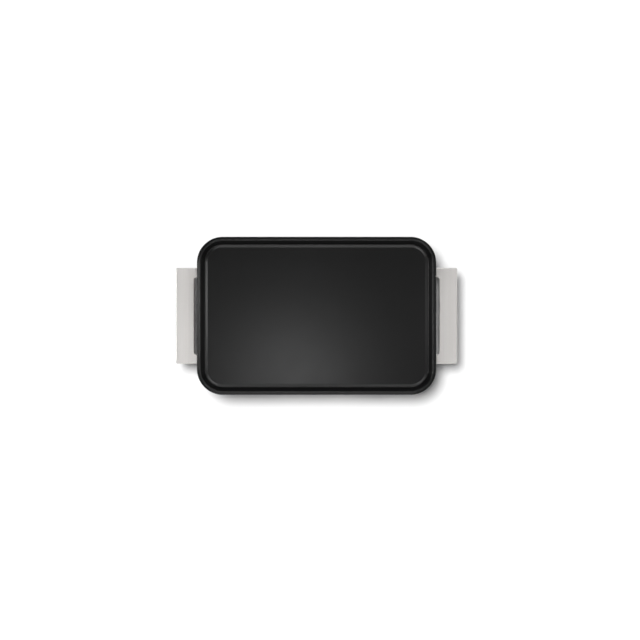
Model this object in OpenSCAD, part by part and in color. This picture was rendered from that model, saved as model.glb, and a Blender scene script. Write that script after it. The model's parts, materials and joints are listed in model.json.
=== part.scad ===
// Electric table griddle: a lift-off cast griddle plate on a heated base with two steel handles.
// Millimetres. X runs along the griddle, -Y is the front with the knob, +Z is up; the feet stand on z = 0.

/* [Griddle plate] */
// Length of the griddle plate over its rim
plate_w = 400; // [390:2:430]
// Depth of the griddle plate over its rim
plate_d = 264; // [260:2:290]
// Corner radius of the rim, seen from above
plate_corner = 43; // [42:1:48]
// Thickness of the cooking floor
plate_floor = 5; // [4.5:0.5:5]
// How far the cooking surface lies below the rim
cook_depth = 7.5; // [7.5:0.5:9]

/* [Body] */
// Overall height from the table to the rim
overall_h = 80; // [80:1:84]
// How far the plate's rim stands out past the housing
overhang = 20; // [20:0.5:21]
// Wall thickness of the housing
wall = 3; // [2.5:0.5:3]

/* [Handles] */
// How far each handle reaches out past the rim
handle_reach = 36; // [30:1:40]
// Length of each handle along the plate's short side
handle_l = 161; // [150:1:170]
// Length of the finger opening
opening_l = 129; // [120:1:132]
// How much of the finger opening shows past the rim
opening_shown = 5.3; // [4:0.1:8]

/* [Controls] */
// Radius of the temperature knob
knob_r = 17; // [15:0.5:17.5]
// Number of grip flutes round the knob
knob_flutes = 30; // [20:2:36]
// Number of heat marks on the dial
dial_steps = 10; // [6:1:12]

/* [Hidden] */
$fn = 64;

// Heights
rim_top = overall_h;
rim_h = 15;
groove_depth = 1.5;
cook_z = rim_top - cook_depth;
groove_z = cook_z - groove_depth;
plate_under = cook_z - plate_floor;
rim_under = rim_top - rim_h;
plate_gap = 1;
base_top = rim_under - plate_gap;
base_bottom = 6;
ledge_depth = 6;
ledge_z = base_top - ledge_depth;
cover_z = 7.5;
cover_t = 2.5;
cover_top = cover_z + cover_t;

// Plate section, measured inwards from the rim's outer edge, with its angles in degrees
rim_band = 32;
rim_wall = 3;
rim_lean = 8;
rim_edge_r = 0.8;
hem_r = 1.2;
crest_in = 4.9;
crest_r = 2.4;
outer_slope = 32;
inner_slope = 54;
groove_r = 1.5;
shoulder_r = 5;
shoulder_angle = 22;
hollow_h = 9.4;
rib_gap = 0.8;
rib_outer = overhang + wall + rib_gap;
rib_t = 3.5;
rib_drop = 3.5;
rib_bottom = rim_under - rib_drop;

// Housing
base_w = plate_w - 2 * overhang;
base_d = plate_d - 2 * overhang;
base_corner = plate_corner - overhang;
post_inset = 17;
post_x = base_w / 2 - post_inset;
post_y = base_d / 2 - post_inset;
post_r = 7;
pilot_r = 1.4;
tray_pilot_r = 1.25;
pad_stem_r = 2.4;
tray_screw_x = 90;
tray_screw_y = base_d / 2 - wall - 3.5;
foot_inset = [40, 32];
foot_x = base_w / 2 - foot_inset.x;
foot_y = base_d / 2 - foot_inset.y;
foot_r = 12;
foot_web_z = 4;

// Reflector tray
sheet = 1;
flange_top = ledge_z + sheet;
pocket_margin = [30, 28];
pocket_w = base_w - 2 * pocket_margin.x;
pocket_d = base_d - 2 * pocket_margin.y;
pocket_corner = 20;
pocket_depth = 8;
tray_floor_z = ledge_z - pocket_depth;
tray_floor_top = tray_floor_z + sheet;
brow_r = 2.2;
floor_r = 2;

// Heater
tube_r = 3.25;
tube_drop = 4.5;
tube_z = plate_under - tube_drop;
run_pitch = 41;
run_half = 115;
drop_r = tube_z - tray_floor_top - 2;
drop_x = run_half + 20;
drop_y = 1.5 * run_pitch;
tube_tail = 8;
tube_end_z = tray_floor_z - tube_tail;
pin_r = 1.5;
tab = [6.3, 0.8, 7.5];
support_x = 75;
support_top = tube_z + 0.8;

// Sensor in the middle of the tray
boss_r = 9;
cup_r = 6;
cup_wall = 1.5;
bulb_r = 3.2;
stem_r = 2.6;
guide_r = 8;
capillary_r = 1;
cup_top = rib_bottom - 0.4;
cup_bottom = tray_floor_z + 1.5;
guide_bottom = tray_floor_z - 7;
stem_bottom = guide_bottom - 1;
flare_h = 0.8;
spring_seat = guide_bottom + 1.5;

// Controls on the front wall; their own frames have +Z pointing out of the wall
control_z = 34;
lamp_x = -42;
lens_r = 4;
fascia_w = 124;
fascia_h = 46;
fascia_t = 1;
fascia_corner = 6;
spindle_r = 3;
bush_r = 5;
knob_h = 16;
knob_foot = fascia_t + 0.6;
knob_top = knob_foot + knob_h;
bush_top = fascia_t + 3.6;
hub_foot = bush_top + 0.4;
hub_r = 6;
frame_t = 1.5;
block = [30, 22, 23.5];
block_front = -wall - frame_t;
block_back = block_front - block.z;
capsule_t = 2.2;

// Power inlet on the rear wall
inlet_x = 100;
inlet_z = 30;
inlet_body = [30, 23, 23];
inlet_flange = [50, 27, 2.5];
inlet_screw_x = 20;

// Terminal block on the bottom cover
terminal_x = 58;
terminal_y = 14;
pole_pitch = 12;
pole_z = cover_top + 7;
pole_bore = 2.4;
screw_offset = 4.5;

// Thermal fuse, earth stud and the ends of the wires
fuse_x = 62;
fuse_z = tray_floor_z - 4;
fuse_r = 3.4;
fuse_l = 20;
lead_r = 0.9;
crimp_reach = 19.5;
earth_x = 112;
earth_y = 20;
stud_r = 2;
wire_r = 1.4;
thin_wire_r = 0.8;
receptacle_l = 11.5;
tab_mouth_x = 15.6;
lamp_mouth = -24.6;
lamp_tab = [0.8, 4.4, 7.5];
lamp_tab_x = 2.6;
pin_mouth_z = tube_end_z - 9.6;
pin_wire_z = pin_mouth_z - receptacle_l;
inlet_wire_y = base_d / 2 - 22.6 - receptacle_l;
lamp_wire_y = receptacle_l - lamp_mouth - base_d / 2;
thermostat_wire_x = tab_mouth_x + receptacle_l;
thermostat_wire_y = -base_d / 2 - block_back - 8.65;
tab_wire_z = control_z - 5.7;
capsule_y = -base_d / 2 - block_back + capsule_t;
live_x = terminal_x - pole_pitch;
switched_x = terminal_x;
neutral_x = terminal_x + pole_pitch;

// Handles
handle_in = base_w / 2;
handle_out = plate_w / 2 + handle_reach;
handle_w = handle_out - handle_in;
handle_top = rim_under - 2;
handle_h = 16;
handle_bottom = handle_top - handle_h;
handle_sheet = 1.2;
handle_corner = 3;
fold_r = 1.4;
cover_band = 2.8;
insert_r = 3.6;
opening_in = handle_in + 4;
opening_out = plate_w / 2 + opening_shown;
opening_corner = 4;
bolt_y = (opening_l / 2 + handle_l / 2) / 2;
bolt_z = handle_bottom + 7;
bolt_r = 2.5;

// ---------- helpers ----------

function arc(centre, r, from, to, steps) = [
    for (i = [0 : steps])
        let (a = from + (to - from) * i / steps)
            centre + r * [cos(a), sin(a)]
];

function unit(v) = v / norm(v);

// A Catmull-Rom curve through the points
function curve_point(p, i, t) =
    let (
        a = p[max(i - 1, 0)],
        b = p[i],
        c = p[i + 1],
        d = p[min(i + 2, len(p) - 1)]
    )
    0.5 * (2 * b + (c - a) * t + (2 * a - 5 * b + 4 * c - d) * t * t + (3 * b - a - 3 * c + d) * t * t * t);

function smooth(p, steps) = concat(
    [for (i = [0 : len(p) - 2], s = [0 : steps - 1]) curve_point(p, i, s / steps)],
    [p[len(p) - 1]]
);

function tangents(p) = [
    for (i = [0 : len(p) - 1])
        unit(p[min(i + 1, len(p) - 1)] - p[max(i - 1, 0)])
];

// Carries a normal along the tangents so that the tube's rings don't twist
function carried(t, n, i = 0) =
    i == len(t) ? [] : let (m = unit(n - (n * t[i]) * t[i])) concat([m], carried(t, m, i + 1));

module tube_along(p, r, sides = 10) {
    t = tangents(p);
    start = abs(t[0].z) < 0.9 ? [0, 0, 1] : [1, 0, 0];
    n = carried(t, start);
    last = len(p) - 1;
    rings = [
        for (i = [0 : last], k = [0 : sides - 1])
            let (a = 360 * k / sides)
                p[i] + r * (cos(a) * n[i] + sin(a) * cross(t[i], n[i]))
    ];
    sides_faces = [
        for (i = [0 : last - 1], k = [0 : sides - 1], half = [0, 1])
            let (
                a = i * sides + k,
                b = i * sides + (k + 1) % sides,
                c = b + sides,
                d = a + sides
            )
            half == 0 ? [a, c, b] : [a, d, c]
    ];
    start_cap = [[for (k = [0 : sides - 1]) k]];
    end_cap = [[for (k = [sides - 1 : -1 : 0]) last * sides + k]];
    polyhedron(points = rings, faces = concat(sides_faces, start_cap, end_cap), convexity = 10);
}

// A curved tube whose two ends run straight, so that they stand square to what they enter
module wire(points, r = wire_r) {
    straight = 1;
    last = len(points) - 1;
    from_start = points[0] + straight * unit(points[1] - points[0]);
    from_end = points[last] + straight * unit(points[last - 1] - points[last]);
    between = [for (i = [1 : last - 1]) points[i]];
    curve = smooth(concat([from_start], between, [from_end]), 4);
    tube_along(concat([points[0]], curve, [points[last]]), r, 8);
}

module rounded_rect(w, d, r) {
    square([w - 2 * r, d], center = true);
    square([w, d - 2 * r], center = true);
    for (x = [-1, 1], y = [-1, 1])
        translate([x * (w / 2 - r), y * (d / 2 - r)])
            circle(r = r);
}

module slab(w, d, r, z, h) {
    translate([0, 0, z])
        linear_extrude(height = h)
            rounded_rect(w, d, r);
}

// Sweeps a 2D section round a rounded rectangle: x = 0 is the outer edge, inwards is negative, y is height
module swept_frame(w, d, r) {
    for (side = [0 : 3]) {
        reach = side % 2 == 0 ? w : d;
        span = side % 2 == 0 ? d : w;
        rotate(90 * side) {
            translate([reach / 2 - r, 0, 0])
                rotate([90, 0, 0])
                    linear_extrude(height = span - 2 * r, center = true)
                        translate([r, 0])
                            children();
            translate([reach / 2 - r, span / 2 - r, 0])
                rotate_extrude(angle = 90)
                    translate([r, 0])
                        children();
        }
    }
}

// Copies a piece of the rear right quarter into all four, mirrored
module each_quarter() {
    for (sx = [0, 1], sy = [0, 1])
        mirror([sx, 0, 0])
            mirror([0, sy, 0])
                children();
}

module at_corners(x, y) {
    for (sx = [-1, 1], sy = [-1, 1])
        translate([sx * x, sy * y, 0])
            children();
}

module at_heater_ends() {
    for (s = [-1, 1])
        translate([drop_x, s * drop_y, 0])
            children();
}

module on_front(x, z) {
    translate([x, -base_d / 2, z])
        rotate([90, 0, 0])
            children();
}

module on_rear(x, z) {
    translate([x, base_d / 2, z])
        rotate([90, 0, 180])
            children();
}

module tube(r_out, r_in, z, h) {
    translate([0, 0, z])
        difference() {
            cylinder(r = r_out, h = h);
            translate([0, 0, -1])
                cylinder(r = r_in, h = h + 2);
        }
}

module rod(r, z, h) {
    translate([0, 0, z])
        cylinder(r = r, h = h);
}

// A pan-head screw: its head's underside is at z = 0 and its shank goes down
module pan_screw(head_r, head_h, shank_r, shank_l) {
    recess_w = 0.8;
    recess_depth = 0.9;
    difference() {
        union() {
            cylinder(r = head_r, h = head_h);
            rod(shank_r, -shank_l, shank_l);
        }
        for (a = [0, 90])
            rotate(a)
                translate([-head_r * 0.6, -recess_w / 2, head_h - recess_depth])
                    cube([head_r * 1.2, recess_w, 1]);
    }
}

// A slot with round ends, lying along X, cut through the plane z = 0
module slot_cutter(length, width, depth) {
    translate([0, 0, -depth / 2]) {
        translate([-(length - width) / 2, -width / 2, 0])
            cube([length - width, width, depth]);
        for (s = [-1, 1])
            translate([s * (length - width) / 2, 0, 0])
                cylinder(r = width / 2, h = depth);
    }
}

// ---------- griddle plate ----------

// The casting's section: outer wall, bevel, crest, inner slope, groove, shoulder, then the hollow underside
function plate_section() =
    let (
        crest = [-crest_in, rim_top - crest_r],
        roll = crest_r - rim_edge_r,
        bevel_w = crest_in - rim_edge_r - roll * sin(outer_slope),
        edge = [-rim_edge_r, crest.y + roll * cos(outer_slope) - bevel_w * tan(outer_slope)],
        hem_x = -hem_r - (rim_h - 2) * tan(rim_lean),
        crest_end = [-crest_in - crest_r * sin(inner_slope), rim_top - crest_r * (1 - cos(inner_slope))],
        groove_y = groove_z + groove_r,
        fall = (crest_end.y - groove_y + groove_r * cos(inner_slope)) / tan(inner_slope),
        groove_x = crest_end.x - fall - groove_r * sin(inner_slope),
        curved_rise = (groove_r + shoulder_r) * (1 - cos(shoulder_angle)),
        straight = (cook_z - groove_z - curved_rise) / tan(shoulder_angle),
        head_x = groove_x - (groove_r + shoulder_r) * sin(shoulder_angle) - straight,
        hollow_top = rim_under + hollow_h
    )
    concat(
        arc([hem_x, rim_under + hem_r], hem_r, -90, -rim_lean, 3),
        arc(edge, rim_edge_r, -rim_lean, 90 - outer_slope, 3),
        arc(crest, crest_r, 90 - outer_slope, 90 + inner_slope, 8),
        arc([groove_x, groove_y], groove_r, inner_slope - 90, -90 - shoulder_angle, 4),
        arc([head_x, cook_z - shoulder_r], shoulder_r, 90 - shoulder_angle, 90, 5),
        [
            [-rim_band, cook_z],
            [-rim_band, plate_under],
            [-rib_outer - rib_t, plate_under],
            [-rib_outer - rib_t, rib_bottom],
            [-rib_outer, rib_bottom],
            [-rib_outer, rim_under],
            [groove_x - 0.4, rim_under],
            [groove_x + 0.4, rim_under + 1.2],
            [crest_end.x - 0.2, hollow_top],
            [-rim_wall - 1, hollow_top],
            [hem_x - rim_wall + hem_r, rim_under]
        ]
    );

module griddle_plate() {
    lug_r = 6;
    guide_rib = [2 * run_half - 10, 2.5, 3];
    rib_offset = 6;
    inner_w = plate_w - 2 * rim_band;
    inner_d = plate_d - 2 * rim_band;
    color([0.07, 0.07, 0.075]) {
        swept_frame(plate_w, plate_d, plate_corner)
            polygon(plate_section());
        slab(inner_w, inner_d, plate_corner - rim_band, plate_under, plate_floor);
        at_corners(post_x, post_y)
            rod(lug_r, rib_bottom, plate_under - rib_bottom + 1);
        // A boss that the sensor touches, and ribs beside the heater's runs
        rod(boss_r, rib_bottom, plate_under - rib_bottom + 1);
        for (run = [-1.5 : 1 : 1.5], side = [-1, 1]) {
            rib_y = run * run_pitch + side * rib_offset;
            translate([0, rib_y, plate_under + 0.5 - guide_rib.z / 2])
                cube([guide_rib.x, guide_rib.y, guide_rib.z + 1], center = true);
        }
    }
}

// ---------- housing ----------

// The wall with its rounded ends and the ledge that carries the tray
function housing_section() =
    let (
        foot_round = 1.5,
        top_round = 1,
        ledge_w = 6,
        ledge_t = 2.5
    )
    concat(
        arc([-foot_round, base_bottom + foot_round], foot_round, -90, 0, 3),
        arc([-top_round, base_top - top_round], top_round, 0, 90, 3),
        [
            [-wall, base_top],
            [-wall, ledge_z],
            [-wall - ledge_w, ledge_z],
            [-wall - ledge_w, ledge_z - ledge_t],
            [-wall, ledge_z - 2 * ledge_t],
            [-wall, base_bottom]
        ]
    );

module rear_vents() {
    count = 12;
    pitch = 8;
    first_x = -118;
    for (i = [0 : count - 1])
        translate([first_x + pitch * i, base_d / 2 - wall / 2, control_z])
            rotate([90, 90, 0])
                slot_cutter(24, 2.6, wall + 2);
}

module base_housing() {
    tray_post_r = 4;
    tray_post_h = 14;
    web_start = 12;
    web_t = 3;
    nut_slot = [7, 10];
    color([0.10, 0.10, 0.105])
        difference() {
            union() {
                swept_frame(base_w, base_d, base_corner)
                    polygon(housing_section());
                at_corners(post_x, post_y)
                    rod(post_r, cover_top, ledge_z - cover_top);
                each_quarter()
                    translate([base_w / 2 - base_corner, base_d / 2 - base_corner, cover_top + 2])
                        rotate(45)
                            translate([web_start, -web_t / 2, 0])
                                cube([base_corner - web_start - wall / 2, web_t, ledge_z - cover_top - 6]);
                at_corners(tray_screw_x, tray_screw_y)
                    rod(tray_post_r, ledge_z - tray_post_h, tray_post_h);
            }
            at_corners(post_x, post_y) {
                rod(pad_stem_r + 0.1, ledge_z - 8, 9);
                rod(pilot_r, cover_top - 1, 20);
            }
            at_corners(tray_screw_x, tray_screw_y)
                rod(tray_pilot_r, ledge_z - 11, 12);
            each_quarter() {
                translate([base_w / 2, bolt_y, bolt_z])
                    rotate([0, 90, 0])
                        cylinder(r = bolt_r + 0.2, h = 3 * wall, center = true);
                translate([base_w / 2 - wall - nut_slot.x, bolt_y - nut_slot.y / 2, bolt_z - 6])
                    cube([nut_slot.x, nut_slot.y, ledge_z - bolt_z + 6.1]);
            }
            on_front(0, control_z)
                rod(bush_r + 0.2, -wall - 1, wall + 2);
            on_front(lamp_x, control_z)
                rod(lens_r + 0.1, -wall - 1, wall + 2);
            on_rear(inlet_x, inlet_z) {
                translate([-inlet_body.x / 2 - 0.2, -inlet_body.y / 2 - 0.2, -wall - 1])
                    cube([inlet_body.x + 0.4, inlet_body.y + 0.4, wall + 2]);
                at_inlet_screws()
                    rod(pilot_r, -wall - 1, wall + 2);
            }
            rear_vents();
        }
}

module bottom_cover() {
    inset = wall + 0.4;
    vents = 12;
    vent_pitch = 16;
    vent_row = 52;
    color([0.12, 0.12, 0.125])
        difference() {
            union() {
                slab(base_w - 2 * inset, base_d - 2 * inset, base_corner - inset, cover_z, cover_t);
                at_corners(foot_x, foot_y)
                    rod(6, cover_z, 10);
            }
            at_corners(post_x, post_y)
                rod(2, cover_z - 1, cover_t + 2);
            at_corners(foot_x, foot_y)
                rod(pilot_r, cover_z - 1, 10);
            for (row = [-1, 1], i = [0 : vents - 1])
                translate([vent_pitch * (i - (vents - 1) / 2), row * vent_row, cover_z])
                    rotate(90)
                        slot_cutter(38, 3.4, 4 * cover_t);
        }
}

// A turned rubber foot with a well that hides its screw's head
module foot(sx, sy) {
    well_r = 6;
    hole_r = 1.6;
    color([0.05, 0.05, 0.05])
        translate([sx * foot_x, sy * foot_y, 0])
            rotate_extrude()
                polygon(concat(
                    [[well_r, 0.8], [well_r + 1, 0]],
                    arc([foot_r - 2, 1.6], 1.6, -90, 0, 4),
                    [[foot_r - 1.4, cover_z], [hole_r, cover_z], [hole_r, foot_web_z], [well_r, foot_web_z]]
                ));
}

module foot_screws() {
    color("silver")
        at_corners(foot_x, foot_y)
            translate([0, 0, foot_web_z])
                rotate([180, 0, 0])
                    pan_screw(4.2, 2.2, pilot_r, 9.5);
}

module cover_screws() {
    color("silver")
        at_corners(post_x, post_y)
            translate([0, 0, cover_z])
                rotate([180, 0, 0])
                    pan_screw(3.6, 2, pilot_r, 13);
}

// ---------- reflector tray and heater ----------

// The pocket's wall in section, from the flange's inner edge over the brow and down to the floor
function pocket_wall() =
    let (
        brow = [0, flange_top - brow_r],
        foot = [-brow_r - floor_r, tray_floor_top + floor_r]
    )
    concat(
        arc(brow, brow_r, 90, 180, 5),
        arc(foot, floor_r, 0, -90, 4),
        arc(foot, floor_r + sheet, -90, 0, 4),
        arc(brow, brow_r - sheet, 180, 90, 3)
    );

module reflector_tray() {
    inset = wall + 1;
    floor_corner = pocket_corner - floor_r;
    brow_w = pocket_w + 2 * brow_r;
    brow_d = pocket_d + 2 * brow_r;
    brow_corner = pocket_corner + brow_r;
    color([0.75, 0.75, 0.76])
        difference() {
            union() {
                difference() {
                    slab(base_w - 2 * inset, base_d - 2 * inset, base_corner - inset, ledge_z, sheet);
                    slab(brow_w, brow_d, brow_corner, ledge_z - 1, sheet + 2);
                }
                swept_frame(brow_w, brow_d, brow_corner)
                    polygon(pocket_wall());
                slab(pocket_w - 2 * floor_r, pocket_d - 2 * floor_r, floor_corner, tray_floor_z, sheet);
            }
            at_corners(post_x, post_y)
                rod(pad_stem_r + 0.2, ledge_z - 1, 4);
            at_corners(tray_screw_x, tray_screw_y)
                rod(1.6, ledge_z - 1, 4);
            at_heater_ends()
                rod(5, tray_floor_z - 1, 4);
            rod(guide_r + 0.1, tray_floor_z - 1, 4);
            translate([earth_x, earth_y, 0])
                rod(stud_r + 0.1, tray_floor_z - 1, 4);
        }
}

module plate_pads() {
    color([0.75, 0.2, 0.12])
        at_corners(post_x, post_y) {
            rod(post_r - 1, flange_top, rib_bottom - flange_top - 0.2);
            rod(pad_stem_r, ledge_z - 7, flange_top - ledge_z + 7);
        }
}

module tray_screws() {
    color("silver")
        at_corners(tray_screw_x, tray_screw_y)
            translate([0, 0, flange_top])
                pan_screw(2.8, 1.7, tray_pilot_r, 10);
}

module half_turn(x, y, facing) {
    translate([x, y, tube_z])
        rotate(facing)
            rotate_extrude(angle = 180)
                translate([run_pitch / 2, 0])
                    circle(r = tube_r);
}

module run_along_x(y, x0, x1) {
    translate([x0, y, tube_z])
        rotate([0, 90, 0])
            cylinder(r = tube_r, h = x1 - x0);
}

module heater_element() {
    color([0.42, 0.40, 0.38]) {
        for (s = [-1, 1]) {
            run_along_x(s * drop_y, -run_half, drop_x - drop_r);
            run_along_x(s * run_pitch / 2, -run_half, run_half);
            half_turn(-run_half, s * run_pitch, 90);
            translate([drop_x - drop_r, s * drop_y, tube_z - drop_r])
                rotate([90, 0, 0])
                    rotate_extrude(angle = 90)
                        translate([drop_r, 0])
                            circle(r = tube_r);
            translate([drop_x, s * drop_y, tube_end_z])
                cylinder(r = tube_r, h = tube_z - drop_r - tube_end_z);
        }
        half_turn(run_half, 0, -90);
    }
}

module heater_supports() {
    bar_half = drop_y + 9;
    bar_t = 1.2;
    foot_w = 9;
    fit = 0.1;
    color([0.65, 0.65, 0.66])
        for (sx = [-1, 1])
            translate([sx * support_x, 0, 0])
                difference() {
                    union() {
                        translate([-bar_t / 2, -bar_half, tray_floor_top])
                            cube([bar_t, 2 * bar_half, support_top - tray_floor_top]);
                        translate([-bar_t / 2, -bar_half, tray_floor_top])
                            cube([foot_w, 2 * bar_half, bar_t]);
                    }
                    for (run = [-1.5 : 1 : 1.5])
                        translate([-2, run * run_pitch, tube_z]) {
                            rotate([0, 90, 0])
                                cylinder(r = tube_r + fit, h = 4);
                            translate([0, -tube_r - fit, 0])
                                cube([4, 2 * (tube_r + fit), 4]);
                        }
                    for (run = [-1 : 1 : 1])
                        translate([-2, run * run_pitch, tray_floor_top + 6])
                            rotate([0, 90, 0])
                                cylinder(r = 2.2, h = 4);
                }
}

module heater_flanges() {
    color([0.65, 0.65, 0.66])
        at_heater_ends() {
            tube(8, tube_r, tray_floor_top, 1.5);
            tube(4.8, tube_r, tray_floor_z - 1, 2);
        }
}

module heater_insulators() {
    color([0.93, 0.92, 0.88])
        at_heater_ends() {
            tube(tube_r + 0.6, pin_r + 0.05, tube_end_z - 2, 2);
            tube(2.6, pin_r + 0.05, tube_end_z - 5, 3);
        }
}

module heater_pins() {
    color([0.72, 0.72, 0.7])
        at_heater_ends() {
            rod(pin_r, tube_end_z - 9, 9);
            translate([-tab.x / 2, -tab.y / 2, tube_end_z - 16])
                cube(tab);
        }
}

// ---------- temperature sensor ----------

module sensor_guide() {
    color([0.7, 0.7, 0.72])
        difference() {
            union() {
                rod(guide_r, guide_bottom, tray_floor_top - guide_bottom + 5);
                rod(guide_r + 4, tray_floor_top, 1.2);
            }
            rod(cup_r + 0.1, spring_seat, 30);
            rod(stem_r + 0.3, guide_bottom - 1, 4);
        }
}

module sensor_cup() {
    color([0.85, 0.8, 0.72])
        difference() {
            union() {
                rod(cup_r, cup_bottom, cup_top - cup_bottom);
                rod(stem_r, stem_bottom, cup_bottom - stem_bottom + 1);
                rod(stem_r + 1, stem_bottom, flare_h);
            }
            rod(bulb_r + 0.05, cup_bottom + cup_wall, cup_top - cup_bottom - 2 * cup_wall);
            rod(capillary_r + 0.4, stem_bottom - 1, cup_bottom - stem_bottom + 4);
        }
}

module sensor_bulb() {
    color([0.72, 0.45, 0.3])
        rod(bulb_r, cup_bottom + cup_wall + 0.1, cup_top - cup_bottom - 2 * cup_wall - 0.4);
}

module sensor_spring() {
    turns = 4;
    coil_r = 4.3;
    strand_r = 0.45;
    rise = cup_bottom - spring_seat - 2 * strand_r - 0.2;
    steps = turns * 18;
    helix = [
        for (i = [0 : steps])
            let (a = 360 * turns * i / steps)
                [coil_r * cos(a), coil_r * sin(a), spring_seat + strand_r + 0.1 + rise * i / steps]
    ];
    color("silver")
        tube_along(helix, strand_r, 8);
}

module capillary_tube() {
    color([0.72, 0.45, 0.3])
        wire([
            [0, 0, cup_bottom - 2], [0, 0, 44], [0, 0, 38.5], [0, -1, 35.5], [-4, -9, 31.5], [-8, -22, 31],
            [-8, -40, 31], [-4, -58, 32], [0, -72, control_z], [0, capsule_y, control_z]
        ], capillary_r);
}

// ---------- thermostat and knob ----------

module thermostat_block() {
    color([0.88, 0.86, 0.8])
        on_front(0, control_z)
            difference() {
                translate([-block.x / 2, -block.y / 2, block_back])
                    cube(block);
                rod(spindle_r + 0.1, block_front - 12, 14);
                for (s = [-1, 1])
                    translate([s * block.x / 2 - 3, -6.2, block_back + 5])
                        cube([6, 1, 9]);
                translate([-9, 6, block_back + 4])
                    cube([18, 6, 14]);
            }
}

module thermostat_frame() {
    color([0.7, 0.7, 0.72])
        on_front(0, control_z)
            difference() {
                union() {
                    translate([-block.x / 2 - 1.5, -block.y / 2 - 1.5, block_front])
                        cube([block.x + 3, block.y + 3, frame_t]);
                    for (s = [-1, 1])
                        translate([s * (block.x / 2 + 0.8) - 0.7, -4, block_back])
                            cube([1.4, 10, block.z + 0.7]);
                }
                rod(bush_r, -wall - 3, 6);
            }
}

module thermostat_bush() {
    color([0.8, 0.68, 0.35])
        on_front(0, control_z)
            difference() {
                rod(bush_r, block_front, bush_top - block_front);
                rod(spindle_r + 0.05, block_front - 1, 20);
            }
}

module thermostat_capsule() {
    color([0.72, 0.45, 0.3])
        on_front(0, control_z) {
            rod(10, block_back - capsule_t, capsule_t);
            tube(2.2, capillary_r, block_back - capsule_t - 1, 1);
        }
}

module thermostat_tabs() {
    color([0.8, 0.68, 0.35])
        on_front(0, control_z)
            for (s = [-1, 1])
                translate([s * 17 - 5, -6.1, block_back + 5.5])
                    cube([10, 0.8, 6.3]);
}

module bush_nut() {
    color("silver")
        on_front(0, control_z)
            difference() {
                rotate(30)
                    translate([0, 0, fascia_t])
                        cylinder(r = bush_r + 3, h = 3, $fn = 6);
                rod(bush_r, 0, 6);
            }
}

module spindle_shape(r, z, h, flat_from) {
    difference() {
        rod(r, z, h);
        translate([-2 * r, r - 1.4, flat_from])
            cube([4 * r, 4, h]);
    }
}

module control_spindle() {
    foot_z = block_front - 11;
    color("silver")
        on_front(0, control_z)
            spindle_shape(spindle_r, foot_z, knob_top - 4 - foot_z, bush_top + 0.2);
}

module temperature_knob() {
    shell = 3.4;
    roof = 2.4;
    flute_foot = knob_foot + 3.6;
    color([0.08, 0.08, 0.085])
        on_front(0, control_z)
            difference() {
                union() {
                    difference() {
                        rotate_extrude()
                            polygon(concat(
                                [[0, knob_foot], [knob_r - 0.6, knob_foot], [knob_r, knob_foot + 0.6]],
                                [[knob_r, flute_foot - 0.6], [knob_r - 1, flute_foot]],
                                arc([knob_r - 3.6, knob_top - 2], 2, 0, 90, 5),
                                [[0, knob_top - 0.4]]
                            ));
                        rod(knob_r - shell, knob_foot - 1, knob_h + 1 - roof);
                        for (i = [0 : knob_flutes - 1])
                            rotate(360 * i / knob_flutes)
                                translate([knob_r + 0.15, 0, flute_foot])
                                    cylinder(r = 1.1, h = knob_h);
                    }
                    rod(hub_r, hub_foot, knob_top - roof - hub_foot + 1);
                }
                spindle_shape(spindle_r + 0.05, hub_foot - 1, knob_top - 3.5 - hub_foot + 1, hub_foot - 1);
                pointer_bar();
            }
}

module pointer_bar() {
    translate([-0.8, knob_r - 11, knob_top - 1])
        cube([1.6, 7, 1.1]);
}

module knob_pointer() {
    color("white")
        on_front(0, control_z)
            pointer_bar();
}

module knob_clip() {
    clip_foot = hub_foot + 1.6;
    color("silver")
        on_front(0, control_z)
            difference() {
                tube(hub_r + 0.7, hub_r + 0.05, clip_foot, 5);
                translate([0, -1.5, clip_foot - 1])
                    cube([10, 3, 7]);
            }
}

module fascia() {
    color([0.78, 0.78, 0.78])
        on_front(0, control_z)
            difference() {
                slab(fascia_w, fascia_h, fascia_corner, 0, fascia_t);
                rod(bush_r + 0.2, -1, 3);
                translate([lamp_x, 0, 0])
                    rod(lens_r + 0.1, -1, 3);
            }
}

// A dot for off at the top, then marks that grow with the heat
module dial_marks() {
    sweep = 270;
    ink = 0.15;
    mark_w = 0.8;
    color([0.08, 0.08, 0.08])
        on_front(0, control_z) {
            for (i = [1 : dial_steps]) {
                size = 1 + 1.4 * i / dial_steps;
                rotate(-sweep * i / dial_steps)
                    translate([-mark_w / 2, knob_r + 2, fascia_t])
                        cube([mark_w, size, ink]);
            }
            translate([0, knob_r + 3.4, fascia_t])
                cylinder(r = 0.9, h = ink);
        }
}

module indicator_lens() {
    color([0.9, 0.35, 0.1])
        on_front(lamp_x, control_z)
            rotate_extrude()
                polygon(concat(
                    [[0, -8], [lens_r, -8], [lens_r, fascia_t]],
                    [[lens_r + 1, fascia_t], [lens_r + 1, fascia_t + 0.6]],
                    arc([0, -3.2], 6.9, 44, 90, 5)
                ));
}

module indicator_lamp() {
    color([0.9, 0.9, 0.86])
        on_front(lamp_x, control_z) {
            difference() {
                rod(5.6, -24, 24 - wall);
                rod(lens_r + 0.05, -9, 10);
            }
            for (s = [-1, 1])
                translate([s * lamp_tab_x - lamp_tab.x / 2, -lamp_tab.y / 2, -31])
                    cube(lamp_tab);
        }
}

// ---------- electrical pieces ----------

module thermal_fuse() {
    color([0.85, 0.84, 0.8])
        translate([fuse_x, 0, fuse_z])
            rotate([0, 90, 0]) {
                rod(fuse_r, -fuse_l / 2, fuse_l);
                rod(lead_r, -fuse_l / 2 - 6, fuse_l + 12);
            }
}

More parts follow.
